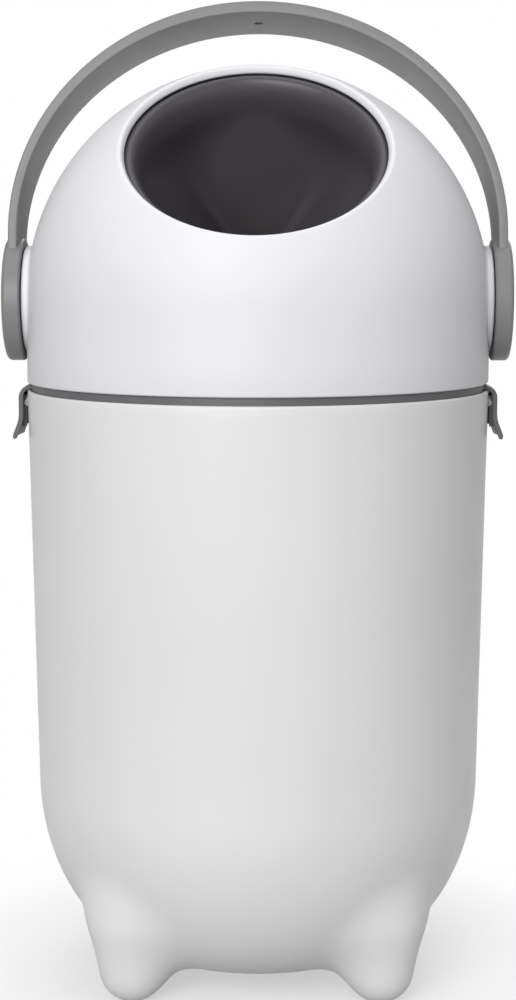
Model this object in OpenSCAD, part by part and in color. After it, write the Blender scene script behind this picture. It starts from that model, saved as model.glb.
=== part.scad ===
// Nappy bin with a turning drum in its domed lid.
// The bucket stands on four moulded legs. The lid lifts off and holds a ball-shaped drum,
// which the carrying handle turns: pocket up to take a nappy, pocket down to drop it.
// Origin: on the bucket's axis at floor level. +Z is up, the mouth faces -Y.

/* [Bucket] */
// Outer diameter of the bucket at its rim and of the lid's dome
body_d = 275; // [266:1:284]
// Height of the bucket's rim above the floor
rim_h = 354; // [330:1:400]
// How much the radius shrinks from the rim down to where the wall starts to round under
wall_taper = 4.5; // [2:0.5:8]
// Height of the rounded lower part
base_round_h = 109; // [80:1:115]
// Diameter of the flat middle of the bottom
base_flat_d = 108; // [90:1:150]
// Clear height under the bottom
base_clear = 12.5; // [8:0.5:22]
// Thickness of the bucket's wall
bucket_wall = 3; // [2.4:0.1:4]
// Thickness of the rim above the ledge that carries the lid
rim_wall = 2.2; // [1.6:0.1:2.4]
// Depth of that ledge below the rim
ledge_depth = 14; // [10:1:20]
// Radius of the rim's outer edge
rim_edge_r = 1.2; // [0.5:0.1:1.6]

/* [Legs] */
// Number of legs
leg_count = 4; // [3:1:5]
// Distance of each leg's middle inside the wall
leg_inset = 30.5; // [28:0.5:42]
// Radius of the leg's round tip
leg_tip_r = 20.5; // [18:0.5:25]
// Radius of the leg's shoulder
leg_shoulder_r = 26; // [24:0.5:34]
// Height of the shoulder above the floor
leg_shoulder_h = 48; // [44:1:70]
// Radius of the flat that each leg stands on
foot_flat_r = 6; // [3:0.5:8]

/* [Lid] */
// Height of the open band between the rim and the dome's lower edge
seam_h = 4.6; // [4.6:0.1:6]
// Height of the drum's and handle's axis above the rim
axis_above_rim = 53; // [50:0.5:60]
// Thickness of the dome's wall
dome_wall = 2.5; // [2:0.1:3]
// Tilt of the mouth towards the front
mouth_tilt = 41; // [36:1:45]
// Half-angle of the mouth seen from the dome's centre
mouth_half_angle = 33; // [28:0.5:35]
// Thickness of the lip around the mouth
lip_t = 4.3; // [3.6:0.1:4.5]
// Half-angle that the lip adds to the mouth's
lip_angle = 3; // [2:0.5:4]
// Thickness of the spigot that seats in the bucket
spigot_wall = 1.8; // [1.4:0.1:2.2]
// Height of the spigot inside the dome's skirt
upstand_h = 6; // [4:0.5:8]
// Thickness of the lid base's flat ring
base_plate_t = 2.5; // [2:0.1:3]
// Gap between the drum and the lid base's flat ring
base_ring_gap = 1.2; // [0.8:0.1:1.5]

/* [Seals] */
// Height of the gasket around the spigot
gasket_h = 3; // [2:0.2:4]
// Depth of the gasket's groove in the spigot
gasket_groove = 0.8; // [0.4:0.1:1]
// Height of the gasket's middle below the rim
gasket_drop = 8; // [6:0.5:9]
// Thickness of the seal under the lid base's flat ring
drum_seal_t = 3; // [2:0.2:4]
// Width of that seal where it is fixed
drum_seal_w = 3.6; // [2.5:0.1:3.8]
// Width of the seal behind the lip, as an angle
mouth_seal_angle = 3; // [2:0.5:4]

/* [Drum] */
// Gap between the dome's lip and the drum
lip_gap = 1.9; // [1.5:0.1:2.5]
// Thickness of the drum's wall
drum_wall = 2.5; // [2:0.1:3]
// Height above the drum's middle where its two shells meet
drum_split = 25; // [22:1:32]
// Depth of the joint between the two shells
drum_lap = 8; // [6:0.5:10]
// Travel of the handle and drum from open to closed
drum_travel = 120; // [100:1:122]

/* [Pocket] */
// Width of the roll around the pocket's mouth
roll_w = 7; // [5.5:0.5:9]
// Depth of that roll
roll_depth = 18; // [13:1:22]
// Thickness of the pocket's wall
pocket_wall = 2.2; // [1.8:0.1:2.6]
// Half-length of the pocket's floor, front to back
floor_half_l = 46; // [36:1:48]
// Half-width of the pocket's floor
floor_half_w = 13; // [11:1:22]
// Corner radius of the pocket's floor
floor_corner_r = 7; // [5:0.5:10]
// Height of the pocket's floor above the drum's middle
pocket_floor_n = 0; // [-10:1:10]
// How fully the pocket's sides bulge before they close in
side_bulge = 1.9; // [1.5:0.1:3]

/* [Handle] */
// Gap between the dome's side and the handle's arms
arm_clear = 4; // [3.2:0.1:5]
// Distance of the handle's top from the dome
handle_rise = 36.5; // [30:0.5:50]
// Height above the axis where the arms start to curve in
arm_h = 37.3; // [28:0.1:48]
// Width of the handle's band
band_w = 49; // [40:1:54]
// Thickness of the handle's band
band_t = 5.4; // [4:0.1:6]
// Rest angle of the handle behind the vertical
handle_lean = 10.3; // [8:0.1:14]
// Diameter of the ears
ear_d = 72.4; // [70:0.2:76]
// Thickness of the ears at their middle
ear_t = 12.8; // [12.4:0.1:15]
// Radius of the ears' crowned outer face
ear_face_r = 260; // [200:10:400]
// Radius of the ears' outer edge
ear_edge_r = 3; // [2:0.5:4]

/* [Axles] */
// Gap between the dome's side and the ears
ear_clear = 1.3; // [1.1:0.1:2.5]
// Diameter of the dome's side bosses
boss_d = 63.6; // [58:0.2:66]
// How far the side bosses stand out past the dome's side
boss_stand = 0.7; // [0.4:0.1:0.7]
// Gap between the drum's ball and the side bosses
boss_drum_gap = 0.2; // [0.1:0.1:0.6]
// Diameter of the axles
axle_d = 20; // [16:0.5:24]
// Width across the flats that key the axles
axle_flats = 16.4; // [12:0.1:16.6]
// Depth of the axle's key in the drum's hub
hub_key_l = 18; // [12:0.5:22]
// Depth of the axle's key in the ear
ear_key_l = 5.6; // [4:0.1:6]
// Wall around the axle's key in the drum's hub
hub_wall = 5; // [3:0.5:7]
// Wall thickness of the bushes
bush_wall = 2; // [1.5:0.1:3]
// Diameter of the bushes' flanges
bush_flange_d = 33; // [28:0.5:36]
// Thickness of the bushes' flanges
bush_flange_t = 1.2; // [0.8:0.1:1.4]

/* [Stops] */
// Distance of the stops from the axis, to their middle
stop_reach = 24; // [22.5:0.5:26]
// Radial width of the stops
stop_w = 6; // [4:0.5:7]
// Angle that each stop spans
stop_angle = 16; // [12:1:20]
// Height of the stops on the dome's side bosses
stop_h = 1.5; // [1.3:0.1:1.6]

/* [Latches] */
// Width of each latch
latch_w = 38; // [28:1:44]
// Thickness of the latch's strap
latch_t = 2.8; // [2.2:0.1:3.2]
// Gap between the bucket and the strap
latch_gap = 2.6; // [2.4:0.1:3.4]
// Length of the strap below the rim, down to where the finger tab flares
latch_drop = 16; // [15:0.5:22]
// Height of the flared finger tab
tab_h = 13; // [8:0.5:14]
// How far the finger tab flares out
tab_flare = 4.8; // [2:0.2:6]
// Diameter of the latch's hinge barrel
barrel_d = 3.4; // [3:0.1:3.6]
// Distance of the latch's hinge inside the bucket's outer face
hinge_inset = 5.1; // [4.8:0.1:6]
// Height of the latch's hinge above the rim
hinge_lift = 1.9; // [1.9:0.05:2.3]
// Height of the catch on the bucket
catch_h = 5; // [3:0.5:6]
// Depth of the catch's middle below the rim
catch_drop = 6.5; // [5:0.5:8]
// How far the catch and the latch's nose reach past each other
catch_hold = 1.5; // [1:0.1:1.8]

/* [Fasteners] */
// Number of lid screws
lid_screw_count = 6; // [4:2:8]
// Distance of the lid screws inside the dome's wall
lid_screw_inset = 5; // [4.8:0.1:5.2]
// Nominal diameter of the lid and drum screws
small_screw_d = 3; // [2.5:0.1:3.5]
// Thickness of the webs that tie the lid screws' bosses to the dome's wall
web_t = 2; // [1.6:0.1:3]
// Length of the lid screws
lid_screw_l = 9; // [7:0.5:10]
// Nominal diameter of the handle screws
handle_screw_d = 5; // [4:0.5:6]
// Diameter of the ear caps
cap_d = 52; // [40:1:56]
// Thickness of the ear caps at their middle
cap_t = 3.4; // [3:0.1:4]
// Diameter of the latch pins
latch_pin_d = 1.6; // [1.4:0.1:1.8]
// Length that each latch pin reaches into its cheeks
latch_pin_hold = 2.6; // [2:0.1:3]

/* [Clearances] */
// Between a part that lifts or turns and its neighbour
move_gap = 0.3; // [0.2:0.05:0.4]
// Radial clearance of a shaft in its bore
shaft_gap = 0.05; // [0.02:0.01:0.09]
// Between fixed parts that fit into each other
fit_gap = 0.1; // [0.05:0.05:0.2]
// Between the latch's hinge barrel and its housing
housing_gap = 0.4; // [0.3:0.1:0.6]

/* [Hidden] */

WHITE = "#ececef";
LID_WHITE = "#f0eff3";
GREY = "#7b7a7d";
DARK_GREY = "#4b494c";
RUBBER = "#3a3a3c";
STEEL = "#b9bcc0";

ROUND = 96;
SMALL_ROUND = 32;
ARCH_STEPS = 48;
POCKET_STEPS = 8;
CORNER_STEPS = 12;
RING_POINTS = 4 * CORNER_STEPS;
// How far a cut runs past the face it opens
CUT = 1;
BIG = 400;

// Bucket
body_r = body_d / 2;
base_r = body_r - wall_taper;
base_flat_r = base_flat_d / 2;
base_mid_h = base_clear + base_round_h;
wall_slope = (body_r - base_r) / (rim_h - base_mid_h);
rim_in_r = body_r - rim_wall;
ledge_h = rim_h - ledge_depth;
ledge_in_r = body_r - ledge_depth * wall_slope - bucket_wall;

leg_reach = base_r - leg_inset;

// Lid and drum
axis_h = rim_h + axis_above_rim;
skirt_h = rim_h + seam_h;
dome_in_r = body_r - dome_wall;
lip_in_r = body_r - lip_t;
drum_r = lip_in_r - lip_gap;
drum_in_r = drum_r - drum_wall;
spigot_r = rim_in_r - move_gap;
upstand_r = dome_in_r - move_gap;
plate_h = skirt_h - base_plate_t;
base_hole_r = sqrt(pow(drum_r, 2) - pow(axis_h - skirt_h, 2)) + base_ring_gap;

// Pocket's roll: an ellipse that touches the drum's sphere and turns down into the wall
roll_angle = mouth_half_angle + 1.5;
roll_start = atan(tan(roll_angle) * roll_w / roll_depth);
roll_mid = [drum_r * sin(roll_angle) - roll_w * sin(roll_start),
    drum_r * cos(roll_angle) - roll_depth * cos(roll_start)];
mouth_wall_r = roll_mid[0] - roll_w;
split_angle = acos(drum_split / drum_r);

lid_screw_reach = dome_in_r - lid_screw_inset;

// Axles, from the bin's middle plane outwards
turn_gap = move_gap + 0.1;
hub_end_t = 6;
boss_in_x = drum_r + boss_drum_gap;
boss_out_x = body_r + boss_stand;
flange_in_x = boss_in_x - bush_flange_t;
hub_face_x = flange_in_x - turn_gap;
hub_key_x = hub_face_x - hub_key_l;
ear_inner_x = body_r + ear_clear;
axle_end_x = ear_inner_x + ear_key_l;
ear_out_x = ear_inner_x + ear_t;
axle_r = axle_d / 2;
bush_in_r = axle_r + shaft_gap;
bush_out_r = bush_in_r + bush_wall;
cap_in_x = ear_out_x - cap_t;
screw_seat_x = cap_in_x - 1.2;
screw_head_t = 2.6;
screw_head_r = 1.05 * handle_screw_d;
// Where the drum's stops stand, counted forwards from the top
rest_stop_angle = 200;

// Handle
arm_reach = body_r + arm_clear + band_t;
handle_h = body_r + handle_rise;

// Latches, in the section through their middle
strap_in_r = body_r + latch_gap;
strap_out_r = strap_in_r + latch_t;
latch_half_angle = asin(latch_w / 2 / strap_out_r);
hinge_x = body_r - hinge_inset;
hinge_h = rim_h + hinge_lift;
barrel_r = barrel_d / 2;
catch_r = strap_in_r - 0.4;
nose_r = catch_r - catch_hold;
catch_low = catch_drop + catch_h / 2;
cheek_t = latch_pin_hold + 0.8;
housing_in_x = hinge_x - barrel_r - housing_gap - 1.8;

// A ring with its profile given as [radius, height] points
module ring(points, angle = 360) {
    rotate([0, 0, -angle / 2])
        rotate_extrude(angle = angle, $fn = ROUND)
            polygon(points);
}

// A round bar along X, between two distances from the middle plane
module bar_x(r, x0, x1) {
    translate([x0, 0, 0])
        rotate([0, 90, 0])
            cylinder(r = r, h = x1 - x0, $fn = ROUND);
}

// The part of an X bar between two flats
module keyed_bar_x(r, flats, x0, x1) {
    intersection() {
        bar_x(r, x0, x1);
        translate([x0 - CUT, -flats / 2, -r - CUT])
            cube([x1 - x0 + 2 * CUT, flats, 2 * (r + CUT)]);
    }
}

// Right-hand geometry placed at the lid's axis, and its mirror image on the left
module at_axis(side) {
    translate([0, 0, axis_h])
        mirror([side < 0 ? 1 : 0, 0, 0])
            children();
}

// The frame of the mouth: +Z runs out of the pocket
module in_mouth() {
    translate([0, 0, axis_h])
        rotate([mouth_tilt, 0, 0])
            children();
}

// Half-plane wedge between two angles from the mouth's axis
module wedge(a0, a1) {
    polygon([[0, 0], BIG * [sin(a0), cos(a0)], BIG * [sin(a1), cos(a1)]]);
}

// Half-ring between two radii, about the mouth's axis
module shell_ring(r_in, r_out, a0, a1) {
    rotate_extrude($fn = ROUND)
        intersection() {
            difference() {
                circle(r = r_out, $fn = 2 * ROUND);
                circle(r = r_in, $fn = 2 * ROUND);
            }
            wedge(a0, a1);
        }
}

// ---- bucket ----

// Rounded lower corner of the bucket, as [radius, height] points
function base_curve(inset) = [
    for (a = [0 : 5 : 90])
        [base_flat_r + (base_r - base_flat_r - inset) * sin(a),
         base_mid_h - (base_round_h - inset) * cos(a)]
];

// Rounded outer edge of the rim
function rim_edge() = [
    for (a = [0 : 30 : 90])
        [body_r - rim_edge_r + rim_edge_r * cos(a), rim_h - rim_edge_r + rim_edge_r * sin(a)]
];

module bucket_body() {
    ring(concat([[0, base_clear]], base_curve(0), rim_edge(), [[0, rim_h]]));
}

module bucket_space() {
    ring(concat(
        [[0, base_clear + bucket_wall]],
        base_curve(bucket_wall),
        [[ledge_in_r, ledge_h], [rim_in_r, ledge_h], [rim_in_r, rim_h + CUT], [0, rim_h + CUT]]));
}

// Section of one leg: a round tip and a round shoulder joined by the line that touches both
function leg_section(inset) =
    let (tip_h = sqrt(pow(leg_tip_r, 2) - pow(foot_flat_r, 2)),
         lean = asin((leg_shoulder_r - leg_tip_r) / (leg_shoulder_h - tip_h)),
         tip_r = leg_tip_r - inset,
         flat_angle = asin((tip_h - inset) / tip_r))
    concat(
        [[0, inset]],
        [for (i = [0 : 6])
            let (a = flat_angle + (lean - flat_angle) * i / 6)
            [tip_r * cos(a), tip_h - tip_r * sin(a)]],
        [for (i = [0 : 9])
            let (a = lean - (90 + lean) * i / 9)
            [(leg_shoulder_r - inset) * cos(a), leg_shoulder_h - (leg_shoulder_r - inset) * sin(a)]]);

module leg(inset) {
    translate([leg_reach, 0, 0])
        rotate_extrude($fn = ROUND)
            polygon(leg_section(inset));
}

module legs(inset) {
    for (i = [0 : leg_count - 1])
        rotate([0, 0, 360 * (i + 0.5) / leg_count])
            leg(inset);
}

// Ramped catch that the latch's nose snaps under
module catch(side) {
    wall_r = body_r - catch_drop * wall_slope - bucket_wall / 2;
    rotate([0, 0, side < 0 ? 180 : 0])
        ring([[wall_r, rim_h - catch_low - 1.5], [catch_r, rim_h - catch_low],
            [catch_r, rim_h - catch_low + 1.5], [body_r + 0.3, rim_h - catch_low + catch_h],
            [wall_r, rim_h - catch_low + catch_h]], angle = 9);
}

module bucket() {
    color(WHITE)
        difference() {
            union() {
                bucket_body();
                legs(0);
                catch(1);
                catch(-1);
            }
            bucket_space();
            legs(bucket_wall);
        }
}

// ---- lid ----

module lid_screw_places() {
    for (i = [0 : lid_screw_count - 1])
        rotate([0, 0, 360 * (i + 0.5) / lid_screw_count])
            translate([lid_screw_reach, 0, 0])
                children();
}

// Space that the latch's hinge barrel and arm turn in
module hinge_space(side) {
    mirror([side < 0 ? 1 : 0, 0, 0])
        translate([hinge_x - barrel_r - housing_gap, -latch_w / 2 - housing_gap, rim_h - 0.2])
            cube([2 * hinge_inset + barrel_d, latch_w + 2 * housing_gap, seam_h + 2.2]);
}

// Block inside the spigot that carries the latch's pin
module hinge_housing(side) {
    mirror([side < 0 ? 1 : 0, 0, 0])
        intersection() {
            translate([housing_in_x, -latch_w / 2 - cheek_t, rim_h - 2.5])
                cube([body_r - housing_in_x, latch_w + 2 * cheek_t, seam_h + 2.5 + upstand_h]);
            cylinder(r = spigot_r - spigot_wall / 2, h = 2 * rim_h, $fn = ROUND);
        }
}

module latch_pin_bar(side, grow, half_l) {
    mirror([side < 0 ? 1 : 0, 0, 0])
        translate([hinge_x, half_l, hinge_h])
            rotate([90, 0, 0])
                cylinder(r = latch_pin_d / 2 + grow, h = 2 * half_l, $fn = SMALL_ROUND);
}

module lid_base() {
    color(GREY)
        difference() {
            union() {
                // Spigot, with the gasket's groove
                difference() {
                    ring([[spigot_r - spigot_wall, ledge_h], [spigot_r, ledge_h],
                        [spigot_r, skirt_h], [upstand_r, skirt_h],
                        [upstand_r, skirt_h + upstand_h],
                        [spigot_r - spigot_wall, skirt_h + upstand_h]]);
                    ring([[spigot_r - gasket_groove, rim_h - gasket_drop - gasket_h / 2],
                        [spigot_r + CUT, rim_h - gasket_drop - gasket_h / 2],
                        [spigot_r + CUT, rim_h - gasket_drop + gasket_h / 2],
                        [spigot_r - gasket_groove, rim_h - gasket_drop + gasket_h / 2]]);
                }
                // Flat ring around the drum
                ring([[base_hole_r, plate_h], [spigot_r - spigot_wall / 2, plate_h],
                    [spigot_r - spigot_wall / 2, skirt_h], [base_hole_r, skirt_h]]);
                hinge_housing(1);
                hinge_housing(-1);
            }
            hinge_space(1);
            hinge_space(-1);
            latch_pin_bar(1, shaft_gap, latch_w / 2 + housing_gap + latch_pin_hold + 0.2);
            latch_pin_bar(-1, shaft_gap, latch_w / 2 + housing_gap + latch_pin_hold + 0.2);
            lid_screw_places() {
                translate([0, 0, rim_h])
                    cylinder(r = small_screw_d / 2, h = 2 * seam_h, $fn = SMALL_ROUND);
                translate([0, 0, skirt_h])
                    cylinder(r = small_screw_d + 1, h = upstand_h + CUT, $fn = SMALL_ROUND);
                // Notch for the web of the screw's boss
                translate([0, -web_t / 2 - move_gap, skirt_h])
                    cube([lid_screw_inset + CUT, web_t + 2 * move_gap, upstand_h + CUT]);
            }
        }
}

module rim_gasket() {
    low = rim_h - gasket_drop - gasket_h / 2 + fit_gap;
    high = rim_h - gasket_drop + gasket_h / 2 - fit_gap;
    color(RUBBER)
        ring([[spigot_r - gasket_groove, low], [spigot_r + move_gap / 3, low],
            [spigot_r + move_gap / 3, high], [spigot_r - gasket_groove, high]]);
}

// Boss for one lid screw, with the web that ties it to the skirt
module lid_screw_boss() {
    boss_h = sqrt(pow(drum_r + 1, 2) - pow(lid_screw_reach - small_screw_d, 2));
    top = min(axis_h - boss_h, skirt_h + lid_screw_l + 1);
    translate([0, 0, skirt_h])
        cylinder(r = small_screw_d, h = top - skirt_h, $fn = SMALL_ROUND);
    translate([0, -web_t / 2, skirt_h])
        cube([lid_screw_inset + dome_wall / 2, web_t, top - skirt_h]);
}

// Stop on the inside of a side boss, at an angle counted forwards from the top
module stop_block(angle, x0, x1) {
    intersection() {
        difference() {
            bar_x(stop_reach + stop_w / 2, x0, x1);
            bar_x(stop_reach - stop_w / 2, x0 - CUT, x1 + CUT);
        }
        rotate([angle, 0, 0])
            translate([x0 - CUT, 0, 0])
                rotate([90, 0, 90])
                    linear_extrude(height = x1 - x0 + 2 * CUT)
                        polygon([[0, 0], BIG * [sin(stop_angle / 2), cos(stop_angle / 2)],
                            BIG * [-sin(stop_angle / 2), cos(stop_angle / 2)]]);
    }
}

// Half-sphere on its skirt, about the lid's upright axis
module dome_shell() {
    translate([0, 0, axis_h])
        rotate_extrude($fn = 2 * ROUND)
            difference() {
                union() {
                    circle(r = body_r, $fn = 2 * ROUND);
                    translate([0, skirt_h - axis_h])
                        square([body_r, axis_h - skirt_h]);
                }
                circle(r = dome_in_r, $fn = 2 * ROUND);
                translate([0, skirt_h - axis_h])
                    square([dome_in_r, axis_h - skirt_h]);
                translate([-BIG, skirt_h - axis_h - BIG])
                    square([2 * BIG, BIG]);
                translate([-BIG, -BIG])
                    square([BIG, 2 * BIG]);
            }
}

module lid_dome() {
    color(LID_WHITE)
        difference() {
            union() {
                dome_shell();
                // Lip turned in around the mouth
                in_mouth()
                    shell_ring(lip_in_r, dome_in_r + dome_wall / 2,
                        mouth_half_angle - 2, mouth_half_angle + lip_angle);
                for (side = [-1, 1])
                    at_axis(side) {
                        bar_x(boss_d / 2, boss_in_x, boss_out_x);
                        for (edge = [-1, 1])
                            stop_block(rest_stop_angle + drum_travel / 2
                                + edge * (drum_travel / 2 + stop_angle + 0.5),
                                boss_in_x - stop_h, boss_in_x + 1);
                    }
                lid_screw_places()
                    lid_screw_boss();
            }
            in_mouth()
                rotate_extrude($fn = ROUND)
                    wedge(0, mouth_half_angle);
            for (side = [-1, 1])
                at_axis(side)
                    bar_x(bush_out_r + shaft_gap, boss_in_x - 3, boss_out_x + CUT);
            lid_screw_places()
                translate([0, 0, skirt_h - CUT])
                    cylinder(r = small_screw_d / 2, h = lid_screw_l + CUT, $fn = SMALL_ROUND);
        }
}

module mouth_seal() {
    color(RUBBER)
        in_mouth()
            shell_ring(drum_r + move_gap, dome_in_r - fit_gap / 2,
                mouth_half_angle + lip_angle + 0.05,
                mouth_half_angle + lip_angle + mouth_seal_angle);
}

module drum_seal() {
    seal_r = base_hole_r + drum_seal_w;
    color(RUBBER)
        difference() {
            ring([[0, plate_h - drum_seal_t], [seal_r, plate_h - drum_seal_t],
                [seal_r, plate_h], [0, plate_h]]);
            translate([0, 0, axis_h])
                sphere(r = drum_r + move_gap, $fn = 2 * ROUND);
        }
}

module lid_screws() {
    head_t = 1.7;
    color(STEEL)
        lid_screw_places()
            translate([0, 0, plate_h - head_t])
                rotate_extrude($fn = SMALL_ROUND)
                    polygon([[0, 0], [small_screw_d - 0.4, 0], [small_screw_d - 0.4, head_t],
                        [small_screw_d / 2 - shaft_gap, head_t],
                        [small_screw_d / 2 - shaft_gap, lid_screw_l + head_t],
                        [0, lid_screw_l + head_t]]);
}

module bush(side) {
    color(DARK_GREY)
        at_axis(side)
            difference() {
                union() {
                    bar_x(bush_flange_d / 2, flange_in_x, boss_in_x);
                    bar_x(bush_out_r, flange_in_x, (boss_out_x + ear_inner_x) / 2);
                }
                bar_x(bush_in_r, flange_in_x - CUT, ear_inner_x + CUT);
            }
}

// ---- drum ----

module drum_screw_places() {
    for (angle = [-110, -35, 35, 110])
        rotate([0, 0, angle])
            translate([0, -sqrt(pow(drum_r, 2) - pow(drum_split - drum_lap / 2, 2)),
                drum_split - drum_lap / 2])
                rotate([-90, 0, 0])
                    children();
}

module drum_shell() {
    color(DARK_GREY)
        difference() {
            union() {
                difference() {
                    in_mouth()
                        shell_ring(drum_in_r, drum_r, split_angle, 180);
                    // Flat faces for the bushes' flanges
                    for (side = [-1, 1])
                        at_axis(side)
                            bar_x(boss_d / 2, hub_face_x, drum_r + CUT);
                }
                for (side = [-1, 1])
                    at_axis(side) {
                        bar_x(axle_r + shaft_gap + hub_wall, hub_key_x - hub_end_t, hub_face_x);
                        stop_block(rest_stop_angle, hub_face_x - 2, boss_in_x - turn_gap);
                    }
            }
            // Keyed sockets and the screws' holes
            for (side = [-1, 1])
                at_axis(side) {
                    keyed_bar_x(bush_in_r, axle_flats + 2 * shaft_gap, hub_key_x, drum_r);
                    bar_x(handle_screw_d / 2, hub_key_x - hub_end_t - CUT, hub_key_x + CUT);
                }
            in_mouth()
                drum_screw_places() {
                    cylinder(r = small_screw_d / 2, h = 2 * drum_wall, $fn = SMALL_ROUND);
                    translate([0, 0, -CUT])
                        cylinder(r = small_screw_d - 0.3, h = CUT + 0.8, $fn = SMALL_ROUND);
                }
        }
}

// Sizes of the pocket at depth t, from 0 at the roll to 1 at the floor
function pocket_w(t) = mouth_wall_r - (mouth_wall_r - floor_half_w) * pow(t, side_bulge);
function pocket_l(t) = mouth_wall_r - (mouth_wall_r - floor_half_l) * t;
function pocket_corner(t) = mouth_wall_r * pow(1 - t, 1.5) + floor_corner_r * t;

// A ring of points: a rectangle with round corners, with the same count at every depth
function pocket_ring(t, grow, h) =
    let (c = min(pocket_corner(t), pocket_w(t), pocket_l(t)))
    [for (corner = [0 : 3], step = [0 : CORNER_STEPS - 1])
        let (a = 90 * corner + 90 * step / (CORNER_STEPS - 1),
             sx = corner == 0 || corner == 3 ? 1 : -1,
             sy = corner < 2 ? 1 : -1)
        [sx * (pocket_w(t) - c) + (c + grow) * cos(a),
         sy * (pocket_l(t) - c) + (c + grow) * sin(a), h]];

// The pocket's wall and floor as one closed skin: up the outside, then down the inside
module pocket_skin() {
    top = roll_mid[1] + 0.5;
    edge = 0.2;
    depths = [for (i = [0 : POCKET_STEPS]) i / POCKET_STEPS];
    function height(t) = roll_mid[1] + (pocket_floor_n - roll_mid[1]) * t;
    rings = concat(
        [pocket_ring(1, pocket_wall - edge, pocket_floor_n - pocket_wall)],
        [for (i = [POCKET_STEPS : -1 : 1])
            pocket_ring(depths[i], pocket_wall - edge, height(depths[i]))],
        [pocket_ring(0, pocket_wall - edge, top), pocket_ring(0, edge, top)],
        [for (i = [1 : POCKET_STEPS]) pocket_ring(depths[i], edge, height(depths[i]))]);
    last = (len(rings) - 1) * RING_POINTS;
    polyhedron(
        points = [for (r = rings, p = r) p],
        faces = concat(
            [[for (i = [0 : RING_POINTS - 1]) i]],
            [for (k = [0 : len(rings) - 2], i = [0 : RING_POINTS - 1])
                let (a = k * RING_POINTS, j = (i + 1) % RING_POINTS)
                [a + i, a + RING_POINTS + i, a + j]],
            [for (k = [0 : len(rings) - 2], i = [0 : RING_POINTS - 1])
                let (a = k * RING_POINTS, j = (i + 1) % RING_POINTS)
                [a + j, a + RING_POINTS + i, a + RING_POINTS + j]],
            [[for (i = [0 : RING_POINTS - 1]) last + RING_POINTS - 1 - i]]));
}

// Section of the upper shell: the sphere, the roll around the mouth, and the lap ring
function cover_section() =
    let (lap_r = sqrt(pow(drum_in_r, 2) - pow(drum_split, 2)) - fit_gap,
         inside_angle = acos((drum_split + 2 * drum_wall) / drum_in_r))
    concat(
        [for (i = [0 : 15])
            let (a = split_angle + (roll_angle - split_angle) * i / 15)
            drum_r * [sin(a), cos(a)]],
        [for (i = [1 : 14])
            let (a = roll_start - (roll_start + 90) * i / 14)
            roll_mid + [roll_w * sin(a), roll_depth * cos(a)]],
        [for (i = [0 : 12])
            let (a = -90 + (roll_start + 90) * i / 12)
            roll_mid + [(roll_w - pocket_wall) * sin(a), (roll_depth - pocket_wall) * cos(a)]],
        [for (i = [1 : 12])
            let (a = roll_angle + (inside_angle - roll_angle) * i / 12)
            drum_in_r * [sin(a), cos(a)]],
        [[lap_r - drum_wall, drum_split + drum_wall],
         [lap_r - drum_wall, drum_split - drum_lap],
         [lap_r, drum_split - drum_lap],
         [lap_r, drum_in_r * cos(split_angle)],
         drum_in_r * [sin(split_angle), cos(split_angle)]]);

module drum_pocket() {
    color(DARK_GREY)
        in_mouth()
            difference() {
                union() {
                    ring(cover_section());
                    pocket_skin();
                }
                drum_screw_places()
                    cylinder(r = small_screw_d / 2, h = 4 * drum_wall, $fn = SMALL_ROUND);
            }
}

module drum_screws() {
    color(STEEL)
        in_mouth()
            drum_screw_places()
                translate([0, 0, 0.6])
                    rotate_extrude($fn = SMALL_ROUND)
                        polygon([[0, 0], [small_screw_d - 0.4, 0],
                            [small_screw_d / 2 - shaft_gap, 0.2],
                            [small_screw_d / 2 - shaft_gap, 2.6 * drum_wall],
                            [0, 2.6 * drum_wall]]);
}

module axle(side) {
    color(STEEL)
        at_axis(side)
            difference() {
                union() {
                    keyed_bar_x(axle_r, axle_flats, hub_key_x + 0.2, axle_end_x - 0.2);
                    bar_x(axle_r, hub_face_x + 0.05, ear_inner_x - 0.05);
                }
                bar_x(handle_screw_d / 2, hub_key_x - CUT, axle_end_x + CUT);
            }
}

// ---- handle ----

// Outline of the arch, or of the space under it: straight arms below half an ellipse
module arch(inset, extra) {
    half_w = arm_reach - inset;
    rise = handle_h - arm_h - inset;
    polygon(concat(
        [[-half_w, -extra], [half_w, -extra]],
        [for (i = [0 : ARCH_STEPS])
            let (a = 180 * i / ARCH_STEPS)
            [half_w * cos(a), arm_h + rise * sin(a)]]));
}

// Distance of the ears' crowned face from the bin's middle plane, at a radius from their axis
function ear_face(r) = ear_out_x - ear_face_r + sqrt(pow(ear_face_r, 2) - pow(r, 2));

function crowned_face(r) = [for (i = [6 : -1 : 0]) [r * i / 6, ear_face(r * i / 6)]];

// A disc about the X axis, from its section as [radius, distance from the middle plane]
module disc_x(points) {
    rotate([0, 90, 0])
        rotate_extrude($fn = ROUND)
            polygon(points);
}

module ear() {
    edge_in_r = ear_d / 2 - ear_edge_r;
    disc_x(concat(
        [[0, ear_inner_x], [ear_d / 2, ear_inner_x]],
        [for (a = [0 : 15 : 75])
            [edge_in_r + ear_edge_r * cos(a), ear_face(edge_in_r) - ear_edge_r + ear_edge_r * sin(a)]],
        crowned_face(edge_in_r)));
}

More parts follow.
